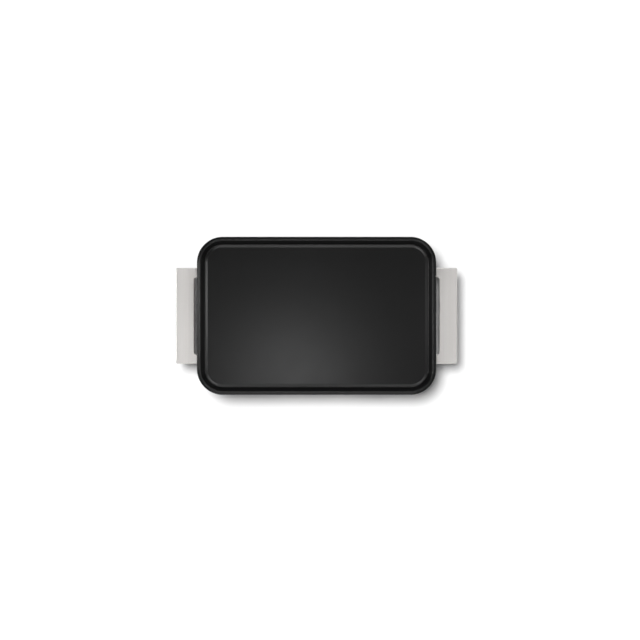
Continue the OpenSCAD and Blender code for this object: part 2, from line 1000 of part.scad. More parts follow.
module fuse_bracket() {
    color([0.7, 0.7, 0.72])
        translate([fuse_x - 5, 0, fuse_z])
            difference() {
                union() {
                    translate([0, -9, 3.1])
                        cube([10, 18, 0.9]);
                    translate([0, -fuse_r - 1.2, -fuse_r - 1])
                        cube([10, 2 * fuse_r + 2.4, fuse_r + 5]);
                }
                translate([-1, 0, 0])
                    rotate([0, 90, 0])
                        cylinder(r = fuse_r + 0.05, h = 12);
                translate([-1, -fuse_r - 0.05, 0])
                    cube([12, 2 * fuse_r + 0.1, 6]);
            }
}

module terminal_block() {
    bar = [3 * pole_pitch, 18, 9];
    tower_w = 10;
    color([0.94, 0.93, 0.9])
        translate([terminal_x, terminal_y, cover_top])
            difference() {
                union() {
                    translate([-bar.x / 2, -bar.y / 2, 0])
                        cube(bar);
                    for (p = [-1 : 1])
                        translate([p * pole_pitch - tower_w / 2, -bar.y / 2, 8])
                            cube([tower_w, bar.y, 7]);
                }
                for (p = [-1 : 1]) {
                    translate([p * pole_pitch, 0, pole_z - cover_top])
                        rotate([90, 0, 0])
                            cylinder(r = pole_bore, h = 20, center = true);
                    for (s = [-1, 1])
                        translate([p * pole_pitch, s * screw_offset, 6])
                            cylinder(r = 1.9, h = 10);
                }
            }
}

module terminal_screws() {
    color([0.8, 0.68, 0.35])
        translate([terminal_x, terminal_y, cover_top])
            for (p = [-1 : 1], s = [-1, 1])
                translate([p * pole_pitch, s * screw_offset, 0])
                    difference() {
                        rod(1.8, 8.6, 5);
                        translate([-2, -0.3, 12.8])
                            cube([4, 0.6, 1]);
                    }
}

module earth_stud() {
    color([0.8, 0.68, 0.35])
        translate([earth_x, earth_y, 0]) {
            rod(stud_r, tray_floor_z - 9, 9 + sheet);
            difference() {
                translate([0, 0, tray_floor_z - 3])
                    cylinder(r = 2 * stud_r, h = 3, $fn = 6);
                rod(stud_r, tray_floor_z - 4, 5);
            }
            rod(3.6, tray_floor_top, 1.6);
        }
}

// A rewirable chassis inlet for a detachable lead
module inlet_socket() {
    color([0.09, 0.09, 0.09])
        on_rear(inlet_x, inlet_z)
            difference() {
                union() {
                    slab(inlet_flange.x, inlet_flange.y, 5, 0, inlet_flange.z);
                    translate([-inlet_body.x / 2, -inlet_body.y / 2, 1 - inlet_body.z])
                        cube(inlet_body);
                }
                translate([0, 0, -14.5])
                    linear_extrude(height = 20)
                        polygon([[-12, -8.2], [12, -8.2], [12, 4.6], [8.4, 8.2], [-8.4, 8.2], [-12, 4.6]]);
                at_inlet_screws()
                    rod(pilot_r + 0.3, -1, 5);
                pin_bars();
            }
}

module at_inlet_screws() {
    for (s = [-1, 1])
        translate([s * inlet_screw_x, 0, 0])
            children();
}

module at_inlet_pins() {
    for (p = [[-7, -2.6], [7, -2.6], [0, 2.4]])
        translate([p.x, p.y, 0])
            children();
}

module pin_bars() {
    at_inlet_pins()
        translate([-1, -2, -29])
            cube([2, 4, 27.5]);
}

module inlet_pins() {
    color([0.75, 0.75, 0.74])
        on_rear(inlet_x, inlet_z)
            pin_bars();
}

module inlet_screws() {
    color("silver")
        on_rear(inlet_x, inlet_z)
            at_inlet_screws()
                translate([0, 0, inlet_flange.z])
                    pan_screw(2.9, 1.7, pilot_r, 10);
}

// A push-on receptacle: its mouth is at z = 0 and its wire leaves at z = receptacle_l
module receptacle(tab_w, tab_t, barrel_r) {
    skin = 0.6;
    sleeve_l = tab.z;
    difference() {
        translate([-tab_w / 2 - skin, -tab_t / 2 - skin, 0])
            cube([tab_w + 2 * skin, tab_t + 2 * skin, sleeve_l]);
        translate([-tab_w / 2, -tab_t / 2, -1])
            cube([tab_w, tab_t, sleeve_l]);
    }
    rod(barrel_r, sleeve_l, receptacle_l - sleeve_l);
}

module tab_connectors() {
    barrel_r = wire_r + 0.4;
    color([0.78, 0.78, 0.76]) {
        on_front(0, control_z)
            for (s = [-1, 1])
                translate([s * tab_mouth_x, -5.7, block_back + 8.65])
                    rotate([0, s * 90, 0])
                        receptacle(tab.x, tab.y, barrel_r);
        on_front(lamp_x, control_z)
            for (s = [-1, 1])
                translate([s * lamp_tab_x, 0, lamp_mouth])
                    rotate([180, 0, 90])
                        receptacle(lamp_tab.y, lamp_tab.x, thin_wire_r + 0.4);
        at_heater_ends()
            translate([0, 0, pin_mouth_z])
                rotate([180, 0, 0])
                    receptacle(tab.x, tab.y, barrel_r);
        on_rear(inlet_x, inlet_z)
            at_inlet_pins()
                translate([0, 0, -22.6])
                    rotate([180, 0, 90])
                        receptacle(4, 2, barrel_r);
        for (s = [0, 1])
            translate([fuse_x, 0, fuse_z])
                mirror([s, 0, 0])
                    rotate([0, 90, 0])
                        difference() {
                            rod(barrel_r, 13.5, 6);
                            rod(lead_r, 13, 3);
                        }
        translate([earth_x, earth_y, tray_floor_z - 3.8]) {
            tube(4, 2, 0, 0.8);
            translate([3, -1.5, 0])
                cube([4, 3, 0.8]);
            translate([4.6, 0, 0.4])
                rotate([0, 90, 0])
                    cylinder(r = barrel_r, h = 4.4);
        }
    }
}

// ---------- wires: their routes are points chosen along the floor of the housing ----------

module wire_live() {
    color([0.45, 0.25, 0.12])
        wire([
            [inlet_x - 7, inlet_wire_y, inlet_z - 2.6], [inlet_x - 7, 71, inlet_z - 2.6], [86, 60, 21],
            [70, 50, 16], [54, 42, 15], [live_x, 32, 16.5], [live_x, 19, pole_z]
        ]);
}

module wire_neutral() {
    color([0.15, 0.3, 0.65])
        wire([
            [inlet_x + 7, inlet_wire_y, inlet_z - 2.6], [inlet_x + 7, 71, inlet_z - 2.6], [100, 58, 19],
            [86, 44, 14], [74, 34, 15.5], [neutral_x, 28, pole_z], [neutral_x, 19, pole_z]
        ]);
}

module wire_earth() {
    color([0.35, 0.6, 0.2])
        wire([
            [inlet_x, inlet_wire_y, inlet_z + 2.4], [inlet_x, 71, inlet_z + 2.4], [106, 56, 38],
            [118, 44, 40], [130, 34, 43], [134, 24, 46], [128, earth_y, tray_floor_z - 3.4],
            [earth_x + 9, earth_y, tray_floor_z - 3.4]
        ]);
}

module wire_thermostat() {
    color([0.45, 0.25, 0.12])
        wire([
            [live_x, 9, pole_z], [live_x, 0, pole_z], [43, -16, 17.5], [38, -32, 16], [40, -56, 16],
            [44, -76, 20], [42, -90, 26], [35, thermostat_wire_y, tab_wire_z],
            [thermostat_wire_x, thermostat_wire_y, tab_wire_z]
        ]);
}

module wire_switched() {
    color([0.6, 0.12, 0.1])
        wire([
            [-thermostat_wire_x, thermostat_wire_y, tab_wire_z], [-35, thermostat_wire_y, tab_wire_z],
            [-40, -84, 24], [-34, -68, 16], [-16, -50, 13], [10, -36, 13], [34, -22, 13], [50, -12, 13],
            [switched_x - 1.5, -3, 16], [switched_x - 0.9, 3, pole_z], [switched_x - 0.9, 9, pole_z]
        ]);
}

module wire_fuse() {
    color([0.6, 0.12, 0.1])
        wire([
            [switched_x, 19, pole_z], [switched_x, 27, pole_z], [50, 36, 22], [36, 34, 30],
            [26, 22, 38], [26, 6, 44], [34, 0, fuse_z], [fuse_x - crimp_reach, 0, fuse_z]
        ]);
}

module wire_heater_front() {
    color([0.6, 0.12, 0.1])
        wire([
            [fuse_x + crimp_reach, 0, fuse_z], [88, 0, fuse_z], [97, -4, 43], [108, -18, 35],
            [118, -34, 24], [125, -48, 15], [130, -58, 13], [drop_x, -drop_y, 15],
            [drop_x, -drop_y, pin_wire_z]
        ]);
}

module wire_heater_rear() {
    color([0.15, 0.3, 0.65])
        wire([
            [neutral_x - 0.9, 9, pole_z], [neutral_x - 0.9, 3, pole_z], [neutral_x, -4, 16],
            [78, -11, 13], [92, -11, 13],
            [107, 2, 13], [117, 26, 13], [125, 48, 13], [130, 58, 13],
            [drop_x, drop_y, 15], [drop_x, drop_y, pin_wire_z]
        ]);
}

module wire_lamp() {
    color([0.6, 0.6, 0.6]) {
        wire([
            [lamp_x + lamp_tab_x, lamp_wire_y, control_z], [lamp_x + lamp_tab_x, lamp_wire_y + 4, control_z],
            [-38, -65, 29], [-31, -56, 23], [-14, -40, 20],
            [12, -26, 21], [36, -13, 22], [52, -7, 22], [62, -4, 20],
            [switched_x + 1.5, 3, pole_z], [switched_x + 1.5, 9, pole_z]
        ], thin_wire_r);
        wire([
            [lamp_x - lamp_tab_x, lamp_wire_y, control_z], [lamp_x - lamp_tab_x, lamp_wire_y + 4, control_z],
            [-46, -65, 32], [-38, -52, 29], [-16, -40, 26],
            [12, -28, 26], [40, -17, 27], [62, -11, 26], [73, -4, 21],
            [neutral_x + 1.5, 4, pole_z], [neutral_x + 1.5, 9, pole_z]
        ], thin_wire_r);
    }
}

// ---------- handles ----------

function cover_section() = concat(
    [[0, handle_bottom]],
    arc([-fold_r, handle_top - fold_r], fold_r, 0, 90, 5),
    [[-cover_band, handle_top], [-cover_band, handle_top - handle_sheet]],
    arc([-fold_r, handle_top - fold_r], fold_r - handle_sheet, 90, 0, 2),
    [[-handle_sheet, handle_bottom]]
);

module handle_opening(grow, z, h) {
    translate([(opening_in + opening_out) / 2, 0, z])
        linear_extrude(height = h)
            rounded_rect(opening_out - opening_in + 2 * grow, opening_l + 2 * grow, opening_corner + grow);
}

// The right-hand pressed steel cover; the left one is its mirror image
module handle_cover() {
    centre = (handle_in + handle_out) / 2;
    lip = 8;
    inner = [handle_w - 2 * cover_band, handle_l - 2 * cover_band];
    color([0.8, 0.79, 0.78])
        difference() {
            union() {
                translate([centre, 0, 0]) {
                    swept_frame(handle_w, handle_l, handle_corner)
                        polygon(cover_section());
                    translate([0, 0, handle_top - handle_sheet / 2])
                        cube([inner.x, inner.y, handle_sheet], center = true);
                }
                handle_opening(handle_sheet, handle_top - lip, lip);
            }
            handle_opening(0, handle_bottom - 1, handle_h + 2);
            for (s = [-1, 1])
                translate([handle_in, s * bolt_y, bolt_z])
                    rotate([0, 90, 0])
                        cylinder(r = bolt_r + 0.2, h = 3 * handle_sheet, center = true);
        }
}

module handle_grip() {
    gap = 0.3;
    inner_x = handle_in + handle_sheet + gap;
    outer_x = handle_out - handle_sheet - gap;
    length = handle_l - 2 * (handle_sheet + gap);
    slot_l = opening_l + 2 * (handle_sheet + gap);
    bottom = handle_bottom - 1.5;
    top = handle_top - handle_sheet - gap;
    color([0.11, 0.11, 0.115])
        difference() {
            translate([(inner_x + outer_x) / 2, 0, 0])
                slab(outer_x - inner_x, length, 2.4, bottom, top - bottom);
            translate([inner_x - 1, -slot_l / 2, bottom - 1])
                cube([opening_out - inner_x + handle_sheet + gap + 1, slot_l, 30]);
            for (s = [-1, 1])
                translate([inner_x - 1, s * bolt_y, bolt_z])
                    rotate([0, 90, 0])
                        cylinder(r = insert_r, h = 19);
        }
}

module handle_bolts() {
    color("silver")
        for (sx = [-1, 1], sy = [-1, 1])
            translate([sx * (handle_in - wall), sy * bolt_y, bolt_z])
                rotate([0, -90 * sx, 0])
                    pan_screw(3.8, 3, bolt_r, 20);
}

module handle_inserts() {
    color([0.8, 0.68, 0.35])
        for (sx = [-1, 1], sy = [-1, 1])
            translate([sx * (handle_in + handle_sheet + 0.6), sy * bolt_y, bolt_z])
                rotate([0, 90 * sx, 0])
                    tube(insert_r, bolt_r + 0.05, 0, 13);
}

// ---------- nodes ----------

griddle_plate();
base_housing();
bottom_cover();
reflector_tray();
plate_pads();
heater_element();
heater_supports();
heater_flanges();
heater_insulators();
heater_pins();
sensor_guide();
sensor_cup();
sensor_bulb();
sensor_spring();
capillary_tube();
thermostat_block();
thermostat_frame();
thermostat_bush();
thermostat_capsule();
thermostat_tabs();
bush_nut();
control_spindle();
temperature_knob();
knob_pointer();
knob_clip();
fascia();
dial_marks();
indicator_lens();
indicator_lamp();
thermal_fuse();
fuse_bracket();
terminal_block();
terminal_screws();
earth_stud();
inlet_socket();
inlet_pins();
inlet_screws();
wire_live();
wire_neutral();
wire_earth();
wire_thermostat();
wire_switched();
wire_fuse();
wire_heater_front();
wire_heater_rear();
wire_lamp();
tab_connectors();
mirror([1, 0, 0]) handle_cover();  // handle_cover_left
handle_cover();  // handle_cover_right
mirror([1, 0, 0]) handle_grip();  // handle_grip_left
handle_grip();  // handle_grip_right
handle_bolts();
handle_inserts();
foot(-1, -1);  // foot_front_left
foot(1, -1);  // foot_front_right
foot(-1, 1);  // foot_rear_left
foot(1, 1);  // foot_rear_right
foot_screws();
cover_screws();
tray_screws();
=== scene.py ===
"""The looks of an electric table griddle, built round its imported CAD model. Lengths are in metres."""
import json
import math

import bmesh
import bpy
from mathutils import Matrix, Vector


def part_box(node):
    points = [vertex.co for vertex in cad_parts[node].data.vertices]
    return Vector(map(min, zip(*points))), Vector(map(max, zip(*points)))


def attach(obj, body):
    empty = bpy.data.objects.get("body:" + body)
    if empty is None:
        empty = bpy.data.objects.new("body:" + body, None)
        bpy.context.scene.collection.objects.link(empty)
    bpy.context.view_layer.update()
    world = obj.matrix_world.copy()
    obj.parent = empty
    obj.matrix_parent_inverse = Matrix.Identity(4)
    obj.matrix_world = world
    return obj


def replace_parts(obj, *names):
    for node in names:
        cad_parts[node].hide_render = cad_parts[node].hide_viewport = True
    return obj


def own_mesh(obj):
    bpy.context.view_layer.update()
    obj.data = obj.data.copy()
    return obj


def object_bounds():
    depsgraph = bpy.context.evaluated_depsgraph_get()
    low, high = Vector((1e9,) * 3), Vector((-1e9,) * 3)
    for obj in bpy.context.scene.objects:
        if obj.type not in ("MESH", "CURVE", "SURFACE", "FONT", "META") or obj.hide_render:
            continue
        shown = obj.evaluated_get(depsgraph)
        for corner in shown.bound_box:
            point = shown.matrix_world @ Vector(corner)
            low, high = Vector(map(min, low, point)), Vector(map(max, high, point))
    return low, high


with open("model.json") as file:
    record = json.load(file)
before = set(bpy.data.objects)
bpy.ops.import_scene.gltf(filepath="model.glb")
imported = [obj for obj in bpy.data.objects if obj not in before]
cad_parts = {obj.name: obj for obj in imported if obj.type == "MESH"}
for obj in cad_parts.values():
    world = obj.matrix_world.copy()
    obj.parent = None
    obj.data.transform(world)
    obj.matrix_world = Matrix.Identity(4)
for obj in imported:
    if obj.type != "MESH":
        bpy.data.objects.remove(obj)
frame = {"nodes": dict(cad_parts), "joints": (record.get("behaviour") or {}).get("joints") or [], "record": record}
cad_lo, cad_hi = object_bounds()
MM = 0.001
SLOT_OF = {part["node"]: part["material_slot"] for part in frame["record"]["subparts"]}
MOUNT = {mount["name"]: Vector(mount["pos_m"]) for mount in frame["record"]["mounts"]}
BODIES = frame["record"]["behaviour"]["bodies"]
BODY_OF = {node: body for body, nodes in BODIES.items() for node in nodes}

# ---------- materials ----------

ALONG_X, ALONG_Y = 0, 1
# The direction across the grain: the fascia stands upright and the handles' tops lie flat
ACROSS = {ALONG_X: (0.0, 0.0, 1.0), ALONG_Y: (1.0, 0.0, 0.0)}
GRAIN_STRETCH = 0.006
# The Mix node's colour sockets by number, because its other sockets have the same names
MIX_FIRST, MIX_SECOND, MIX_RESULT = 6, 7, 2


class Surface:
    """A principled material whose colour, roughness and bump come from nodes in the piece's own frame."""

    def __init__(self, name, **constants):
        self.material = bpy.data.materials.new(name)
        self.material.use_nodes = True
        self.tree = self.material.node_tree
        self.shader = self.tree.nodes["Principled BSDF"]
        self.place = self.tree.nodes.new("ShaderNodeTexCoord").outputs["Object"]
        for socket, value in constants.items():
            self.set(socket.replace("_", " "), value)

    def put(self, socket, value):
        """Gives a socket a constant, or links it where the value is another node's output."""
        if isinstance(value, bpy.types.NodeSocket):
            self.tree.links.new(value, socket)
        else:
            socket.default_value = value

    def add(self, kind, inputs, **settings):
        node = self.tree.nodes.new("ShaderNode" + kind)
        for name, value in settings.items():
            setattr(node, name, value)
        for socket, value in inputs.items():
            self.put(node.inputs[socket], value)
        return node

    def stretched(self, stretch):
        return self.add("Mapping", {"Vector": self.place, "Scale": stretch}).outputs["Vector"]

    def noise(self, scale, detail=2.0, rough=0.5, stretch=(1, 1, 1)):
        inputs = {"Vector": self.stretched(stretch), "Scale": scale, "Detail": detail, "Roughness": rough}
        return self.add("TexNoise", inputs).outputs["Fac"]

    def cells(self, scale):
        inputs = {"Vector": self.stretched((1, 1, 1)), "Scale": scale}
        return self.add("TexVoronoi", inputs, feature="F1").outputs["Distance"]

    def spread(self, value, low, high, from_low=0.3, from_high=0.7):
        """Carries a pattern over from its own range to the range from low to high."""
        inputs = {"Value": value, "From Min": from_low, "From Max": from_high, "To Min": low, "To Max": high}
        return self.add("MapRange", inputs).outputs["Result"]

    def mixed(self, factor, first, second):
        node = self.add("Mix", {}, data_type="RGBA")
        self.put(node.inputs["Factor"], factor)
        for socket, colour in ((MIX_FIRST, first), (MIX_SECOND, second)):
            is_socket = isinstance(colour, bpy.types.NodeSocket)
            self.put(node.inputs[socket], colour if is_socket else (*colour, 1))
        return node.outputs[MIX_RESULT]

    def set(self, socket, value):
        self.put(self.shader.inputs[socket], value)

    def bumped(self, *layers):
        """Each layer is a height, its strength and its depth in metres."""
        normal = None
        for height, strength, depth in layers:
            inputs = {"Height": height, "Strength": strength, "Distance": depth}
            if normal is not None:
                inputs["Normal"] = normal
            normal = self.add("Bump", inputs).outputs["Normal"]
        self.set("Normal", normal)


def shade(colour, factor):
    return tuple(channel * factor for channel in colour)


def nonstick(name):
    s = Surface(name, IOR=1.35)
    cloud = s.noise(9, 3)
    peel = s.noise(520, 2)
    fleck = s.cells(2600)
    dark = s.mixed(s.spread(cloud, 0, 1), (0.0018, 0.0018, 0.0019), (0.0024, 0.0024, 0.0025))
    s.set("Base Color", s.mixed(s.spread(fleck, 0.5, 0, 0.05, 0.16), dark, (0.010, 0.010, 0.011)))
    s.set("Roughness", s.spread(s.noise(60, 4), 0.275, 0.295))
    s.bumped((peel, 0.2, 0.01 * MM))
    return s.material


def brushed(name, colour, along, low, high):
    """Brushed metal with its grain along one axis."""
    s = Surface(name, Metallic=1.0)
    stretch = [1.0, 1.0, 1.0]
    stretch[along] = GRAIN_STRETCH
    grain = s.noise(2600, 3, 0.6, stretch)
    broad = s.noise(420, 2, 0.5, stretch)
    fine = s.mixed(s.spread(grain, 0, 1), shade(colour, 0.94), shade(colour, 1.02))
    coarse = s.mixed(s.spread(grain, 0, 1), shade(colour, 0.99), shade(colour, 1.07))
    s.set("Base Color", s.mixed(s.spread(broad, 0, 1, 0.35, 0.65), fine, coarse))
    s.set("Tangent", s.add("CombineXYZ", dict(zip("XYZ", ACROSS[along]))).outputs["Vector"])
    s.set("Anisotropic", 0.2)
    wear = s.spread(s.noise(22, 3), -0.02, 0.02)
    rough = s.add("Math", {0: s.spread(broad, low, high), 1: wear}, operation="ADD").outputs["Value"]
    s.set("Roughness", rough)
    s.bumped((grain, 0.22, 0.012 * MM), (broad, 0.12, 0.02 * MM))
    return s.material


def moulded(name, colour, low, high, grain_scale=1500, depth=0.03 * MM):
    """Injection-moulded plastic with a spark-eroded grain."""
    s = Surface(name, IOR=1.5)
    grain = s.noise(grain_scale, 2, 0.6)
    cloud = s.noise(25, 3)
    s.set("Base Color", s.mixed(s.spread(cloud, 0, 1), shade(colour, 0.88), shade(colour, 1.12)))
    s.set("Roughness", s.spread(s.noise(90, 3), low, high))
    s.bumped((grain, 0.45, depth), (cloud, 0.05, 0.2 * MM))
    return s.material


def metal(name, colour, low, high, tint=None):
    """Plain metal with fine scratches, dull patches and an optional second tint."""
    s = Surface(name, Metallic=1.0)
    patches = s.noise(40, 4)
    scratches = s.noise(900, 3, 0.7, (1, 0.12, 1))
    second = tint or shade(colour, 0.86)
    s.set("Base Color", s.mixed(s.spread(patches, 0, 1), colour, second))
    s.set("Roughness", s.spread(scratches, low, high))
    s.bumped((scratches, 0.2, 0.01 * MM))
    return s.material


def aluminised(name):
    """Hot-dipped sheet: soft crystals, dull patches and light heat tinting."""
    s = Surface(name, Metallic=1.0)
    spangle = s.cells(160)
    patches = s.noise(28, 4)
    base = s.mixed(s.spread(spangle, 0, 1, 0.1, 0.7), (0.66, 0.66, 0.67), (0.56, 0.56, 0.57))
    s.set("Base Color", s.mixed(s.spread(patches, 0, 0.55), base, (0.60, 0.55, 0.46)))
    s.set("Roughness", s.spread(s.noise(260, 3), 0.34, 0.5))
    s.bumped((s.noise(700, 2), 0.15, 0.02 * MM))
    return s.material


def heater_sheath(name):
    """A drawn alloy sheath, dark grey with brown and blue heat tints along its length."""
    s = Surface(name, Metallic=0.85)
    bands = s.noise(16, 3)
    tint = s.mixed(s.spread(bands, 0, 1), (0.16, 0.15, 0.15), (0.20, 0.145, 0.10))
    s.set("Base Color", s.mixed(s.spread(s.noise(35, 3), 0, 0.6), tint, (0.11, 0.125, 0.16)))
    s.set("Roughness", s.spread(s.noise(300, 3), 0.42, 0.58))
    s.bumped((s.noise(1600, 2, 0.5, (0.05, 1, 1)), 0.2, 0.02 * MM))
    return s.material


def fired(name):
    """Steatite: matt, faintly granular and slightly stained."""
    s = Surface(name, IOR=1.55)
    s.set("Base Color", s.mixed(s.spread(s.noise(120, 4), 0, 1), (0.78, 0.76, 0.70), (0.66, 0.63, 0.56)))
    s.set("Roughness", s.spread(s.noise(300, 2), 0.5, 0.7))
    s.bumped((s.noise(1800, 2), 0.3, 0.03 * MM))
    return s.material


def rubbery(name, colour, low=0.62, high=0.8):
    s = Surface(name, IOR=1.45)
    s.set("Base Color", s.mixed(s.spread(s.noise(70, 3), 0, 1), shade(colour, 0.85), shade(colour, 1.15)))
    s.set("Roughness", s.spread(s.noise(200, 3), low, high))
    s.bumped((s.noise(1300, 2), 0.35, 0.03 * MM))
    return s.material


def amber_lens(name):
    """Tinted acrylic: glossy, partly see-through, with its tint deeper in soft random patches."""
    s = Surface(name, IOR=1.49, Transmission_Weight=0.55, Coat_Weight=0.3)
    depth = s.noise(180, 2)
    s.set("Base Color", s.mixed(s.spread(depth, 0, 1), (0.80, 0.17, 0.02), (0.62, 0.10, 0.015)))
    s.set("Roughness", s.spread(s.noise(400, 2), 0.08, 0.16))
    return s.material


def printed(name, colour):
    """Screen-printed ink with a slightly uneven film."""
    s = Surface(name, IOR=1.48)
    film = s.noise(1500, 3)
    s.set("Base Color", s.mixed(s.spread(film, 0, 1), shade(colour, 0.85), shade(colour, 1.15)))
    s.set("Roughness", s.spread(film, 0.4, 0.55))
    s.bumped((film, 0.3, 0.01 * MM))
    return s.material


STEEL = (0.592, 0.575, 0.560)
MATERIAL = {
    "nonstick_cast": nonstick("nonstick_cast"),
    "housing_plastic": moulded("housing_plastic", (0.022, 0.022, 0.023), 0.48, 0.60),
    "grip_plastic": moulded("grip_plastic", (0.018, 0.018, 0.019), 0.42, 0.52, 1100),
    "knob_plastic": moulded("knob_plastic", (0.016, 0.016, 0.017), 0.34, 0.44, 2200, 0.015 * MM),
    "brushed_stainless": brushed("brushed_stainless", STEEL, ALONG_Y, 0.36, 0.46),
    "aluminised_sheet": aluminised("aluminised_sheet"),
    "heater_sheath": heater_sheath("heater_sheath"),
    "plated_steel": metal("plated_steel", (0.64, 0.65, 0.66), 0.2, 0.38, (0.60, 0.57, 0.48)),
    "spring_wire": metal("spring_wire", (0.50, 0.50, 0.50), 0.25, 0.4),
    "brass": metal("brass", (0.74, 0.55, 0.25), 0.22, 0.4, (0.60, 0.42, 0.18)),
    "copper": metal("copper", (0.72, 0.40, 0.27), 0.25, 0.42, (0.50, 0.25, 0.17)),
    "ceramic_white": fired("ceramic_white"),
    "nylon_white": moulded("nylon_white", (0.70, 0.69, 0.64), 0.4, 0.55),
    "silicone_red": rubbery("silicone_red", (0.36, 0.06, 0.035), 0.5, 0.65),
    "rubber_black": rubbery("rubber_black", (0.018, 0.018, 0.018)),
    "lens_amber": amber_lens("lens_amber"),
    "dial_ink": printed("dial_ink", (0.02, 0.02, 0.02)),
    "pointer_white": printed("pointer_white", (0.74, 0.74, 0.72)),
    "wire_brown": rubbery("wire_brown", (0.16, 0.07, 0.03), 0.35, 0.5),
    "wire_blue": rubbery("wire_blue", (0.03, 0.11, 0.38), 0.35, 0.5),
    "wire_green": rubbery("wire_green", (0.08, 0.30, 0.06), 0.35, 0.5),
    "wire_red": rubbery("wire_red", (0.38, 0.03, 0.02), 0.35, 0.5),
    "wire_grey": rubbery("wire_grey", (0.30, 0.30, 0.30), 0.35, 0.5),
}
FASCIA_STEEL = brushed("fascia_stainless", STEEL, ALONG_X, 0.34, 0.44)


# ---------- mesh building ----------


def arc(x, z, radius, start, end, steps):
    """Points of an arc in a section, from one angle in degrees to another."""
    angles = [math.radians(start + (end - start) * i / steps) for i in range(steps + 1)]
    return [(x + radius * math.cos(a), z + radius * math.sin(a)) for a in angles]


def rounded_loop(w, d, r, steps, centre):
    """A rounded rectangle seen from above, anticlockwise, with the same number of points at any size."""
    points = []
    for quarter, (sx, sy) in enumerate(((1, 1), (-1, 1), (-1, -1), (1, -1))):
        x, y = centre[0] + sx * (w / 2 - r), centre[1] + sy * (d / 2 - r)
        points += arc(x, y, r, 90 * quarter, 90 * quarter + 90, steps)
    return points


def rings_round(w, d, r, section, steps, centre=(0, 0)):
    """Sweeps a section round a rounded rectangle: its x is 0 at the outer edge and negative inwards."""
    rings = []
    for x, z in section:
        outline = rounded_loop(w + 2 * x, d + 2 * x, max(r + x, 0.2 * MM), steps, centre)
        rings.append([(px, py, z) for px, py in outline])
    return rings


def lofted(rings, cap_start=False, cap_end=False, closed=False):
    """Vertices and faces of a skin through rings that have the same number of points."""
    count = len(rings[0])
    verts = [point for ring in rings for point in ring]
    faces = []
    pairs = len(rings) if closed else len(rings) - 1
    for i in range(pairs):
        a, b = i * count, (i + 1) % len(rings) * count
        faces += [(a + k, a + (k + 1) % count, b + (k + 1) % count, b + k) for k in range(count)]
    if cap_start:
        faces.append(tuple(reversed(range(count))))
    if cap_end:
        faces.append(tuple(range(len(verts) - count, len(verts))))
    return verts, faces


# A turned piece is closed at its axis by a small flat face of this radius
POLE_R = 0.3 * MM


def lathed(section, steps, turn=None, wave=None):
    """Turns a section of (radius, height) about Z; wave adds to the radius by section point and angle."""
    rings = []
    for index, (radius, height) in enumerate(section):
        ring = []
        for k in range(steps):
            angle = 2 * math.pi * k / steps
            reach = max(radius, POLE_R) + (wave(index, angle) if wave else 0)
            ring.append(Vector((reach * math.cos(angle), reach * math.sin(angle), height)))
        rings.append([turn @ point for point in ring] if turn else ring)
    return lofted(rings, True, True)


def lathed_ring(section, steps, turn):
    """A closed section turned about Z, such as a washer or a foot with a hole through it."""
    rings = []
    for radius, height in section:
        angles = [2 * math.pi * k / steps for k in range(steps)]
        rings.append([turn @ Vector((radius * math.cos(a), radius * math.sin(a), height)) for a in angles])
    return lofted(rings, closed=True)


def tube(points, radius, sides):
    """A round tube through points, with its rings carried along so that they don't twist."""
    points = [Vector(p) for p in points]
    last = len(points) - 1
    tangents = [(points[min(i + 1, last)] - points[max(i - 1, 0)]).normalized() for i in range(last + 1)]
    side = tangents[0].orthogonal().normalized()
    rings = []
    for point, tangent in zip(points, tangents):
        side = (side - side.dot(tangent) * tangent).normalized()
        up = tangent.cross(side)
        angles = [2 * math.pi * k / sides for k in range(sides)]
        rings.append([point + radius * (math.cos(a) * side + math.sin(a) * up) for a in angles])
    return lofted(rings, True, True)


# Faces that meet at more than the hard angle, in degrees, keep a hard edge between them
HARD_ANGLE, BEVEL_ANGLE, FLAT_ANGLE = 38, 30, 0.5
WELD_DISTANCE = 0.001 * MM


def shaded_smooth(mesh):
    """Smooth shading, with hard edges where faces meet at a sharp angle."""
    work = bmesh.new()
    work.from_mesh(mesh)
    bmesh.ops.recalc_face_normals(work, faces=work.faces)
    for face in work.faces:
        face.smooth = True
    for edge in work.edges:
        edge.smooth = len(edge.link_faces) == 2 and edge.calc_face_angle() < math.radians(HARD_ANGLE)
    work.to_mesh(mesh)
    work.free()


def finished(name, mesh, node, material=None):
    """Makes a mesh an object with its material, body and slot, and lets it stand for its CAD node."""
    shaded_smooth(mesh)
    obj = bpy.data.objects.new(name, mesh)
    bpy.context.scene.collection.objects.link(obj)
    weighted = obj.modifiers.new("even_normals", "WEIGHTED_NORMAL")
    weighted.keep_sharp = True
    obj.data.materials.append(material or MATERIAL[SLOT_OF[node]])
    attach(obj, BODY_OF[node])
    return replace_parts(obj, node)


def piece(name, shapes, node):
    """One object from one or more (vertices, faces) shapes."""
    verts, faces = [], []
    for shape_verts, shape_faces in shapes:
        faces += [tuple(i + len(verts) for i in face) for face in shape_faces]
        verts += shape_verts
    mesh = bpy.data.meshes.new(name)
    mesh.from_pydata(verts, [], faces)
    return finished(name, mesh, node)


def refined(node, width, material=None, segments=2):
    """A CAD node's shape with merged flat faces and rounded edges."""
    work = bmesh.new()
    work.from_mesh(frame["nodes"][node].data)
    bmesh.ops.remove_doubles(work, verts=work.verts, dist=WELD_DISTANCE)
    bmesh.ops.dissolve_limit(work, angle_limit=math.radians(FLAT_ANGLE), verts=work.verts, edges=work.edges)
    if width:
        limit = math.radians(BEVEL_ANGLE)
        sharp = [e for e in work.edges if len(e.link_faces) == 2 and e.calc_face_angle() > limit]
        bmesh.ops.bevel(
            work, geom=sharp, offset=width, offset_type="OFFSET", segments=segments,
            profile=0.5, affect="EDGES", clamp_overlap=True,
        )
    mesh = bpy.data.meshes.new(node + "_shape")
    work.to_mesh(mesh)
    work.free()
    finished(node + "_shape", mesh, node, material)


